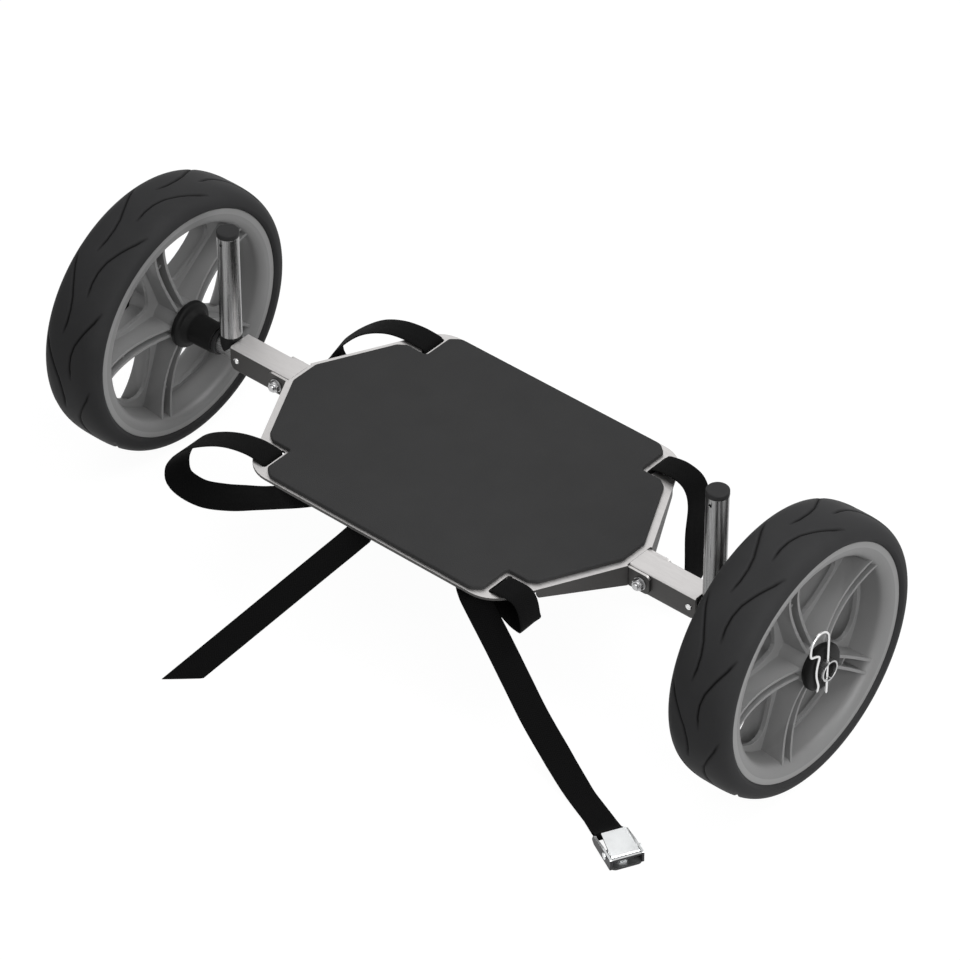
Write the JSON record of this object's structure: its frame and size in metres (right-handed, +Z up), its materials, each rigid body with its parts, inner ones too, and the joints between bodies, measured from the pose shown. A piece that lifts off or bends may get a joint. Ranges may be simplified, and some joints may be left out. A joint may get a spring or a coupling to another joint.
{
  "type": "paddleboard cart",
  "caption": "Folding two-wheel cart for a paddleboard: padded metal deck, hinged arms with upright posts, pin-held moulded wheels and a threaded webbing strap with a cam buckle.",
  "frame": {"origin": "on the ground below the middle of the deck, midway between the wheels", "axes": "+X along the wheels' common axis towards the end with the buckle, +Y to the back, +Z up"},
  "size_m": [0.7998, 0.3885, 0.26],
  "materials": {
    "sheet_metal": "fine-grained satin sheet",
    "arm_metal": "satin square tube",
    "tube_metal": "satin round tube",
    "fastener_metal": "zinc plated",
    "spring_steel": "bright wire and strip",
    "buckle_metal": "bright plated sheet",
    "pad_foam": "matte closed-cell foam sheet",
    "tyre_rubber": "matte black tread",
    "rim_plastic": "grey moulded plastic",
    "black_plastic": "black moulded plastic",
    "cap_plastic": "dark grey moulded plastic",
    "webbing": "black woven webbing"
  },
  "bodies": {
    "deck": {"deck_plate": "sheet_metal", "deck_pad": "pad_foam", "pivot_bolts": "fastener_metal", "pivot_nuts": "fastener_metal", "pivot_washers": "fastener_metal", "strap_front_tail": "webbing", "strap_front_run": "webbing", "strap_middle": "webbing", "strap_back_run": "webbing", "strap_buckle_tail": "webbing", "buckle_frame": "buckle_metal", "buckle_pin": "buckle_metal", "buckle_spring": "spring_steel"},
    "arm_left": {"arm_tube_left": "arm_metal", "axle_tube_left": "tube_metal", "post_left": "tube_metal", "post_saddle_left": "black_plastic", "post_cap_left": "cap_plastic", "axle_washer_left": "cap_plastic"},
    "wheel_left": {"tyre_left": "tyre_rubber", "rim_barrel_left": "rim_plastic", "rim_spokes_left": "rim_plastic", "inboard_bush_left": "black_plastic", "outboard_bush_left": "black_plastic"},
    "hairpin_left": {"hairpin_left": "spring_steel"},
    "button_left": {"snap_button_left": "spring_steel", "snap_spring_left": "spring_steel"},
    "arm_right": {"arm_tube_right": "arm_metal", "axle_tube_right": "tube_metal", "post_right": "tube_metal", "post_saddle_right": "black_plastic", "post_cap_right": "cap_plastic", "axle_washer_right": "cap_plastic"},
    "wheel_right": {"tyre_right": "tyre_rubber", "rim_barrel_right": "rim_plastic", "rim_spokes_right": "rim_plastic", "inboard_bush_right": "black_plastic", "outboard_bush_right": "black_plastic"},
    "hairpin_right": {"hairpin_right": "spring_steel"},
    "button_right": {"snap_button_right": "spring_steel", "snap_spring_right": "spring_steel"},
    "buckle_lever": {"buckle_lever": "buckle_metal"}
  },
  "joints": [
    {"name": "fold_left", "type": "hinge", "parent": "deck", "child": "arm_left", "pos_m": [-0.208, 0, 0.13], "axis": [0, -1, 0], "range_deg": [0, 90]},
    {"name": "wheel_spin_left", "type": "hinge", "parent": "arm_left", "child": "wheel_left", "pos_m": [-0.3565, 0, 0.13], "axis": [1, 0, 0], "continuous": true},
    {"name": "hairpin_pull_left", "type": "slide", "parent": "arm_left", "child": "hairpin_left", "axis": [0, 0, 1], "range_m": [0, 0.045]},
    {"name": "button_press_left", "type": "slide", "parent": "arm_left", "child": "button_left", "axis": [0, 1, 0], "range_m": [0, 0.0043], "stiffness_N_per_m": 600, "springref_m": -0.004},
    {"name": "fold_right", "type": "hinge", "parent": "deck", "child": "arm_right", "pos_m": [0.208, 0, 0.13], "axis": [0, 1, 0], "range_deg": [0, 90]},
    {"name": "wheel_spin_right", "type": "hinge", "parent": "arm_right", "child": "wheel_right", "pos_m": [0.3565, 0, 0.13], "axis": [1, 0, 0], "continuous": true},
    {"name": "hairpin_pull_right", "type": "slide", "parent": "arm_right", "child": "hairpin_right", "axis": [0, 0, 1], "range_m": [0, 0.045]},
    {"name": "button_press_right", "type": "slide", "parent": "arm_right", "child": "button_right", "axis": [0, 1, 0], "range_m": [0, 0.0043], "stiffness_N_per_m": 600, "springref_m": -0.004},
    {"name": "buckle_lever_lift", "type": "hinge", "parent": "deck", "child": "buckle_lever", "pos_m": [0.32577, -0.17842, 0.0074], "axis": [0.4617, 0.887, 0], "range_deg": [0, 60], "stiffness_Nm_per_rad": 0.01, "springref_deg": -17.19}
  ]
}
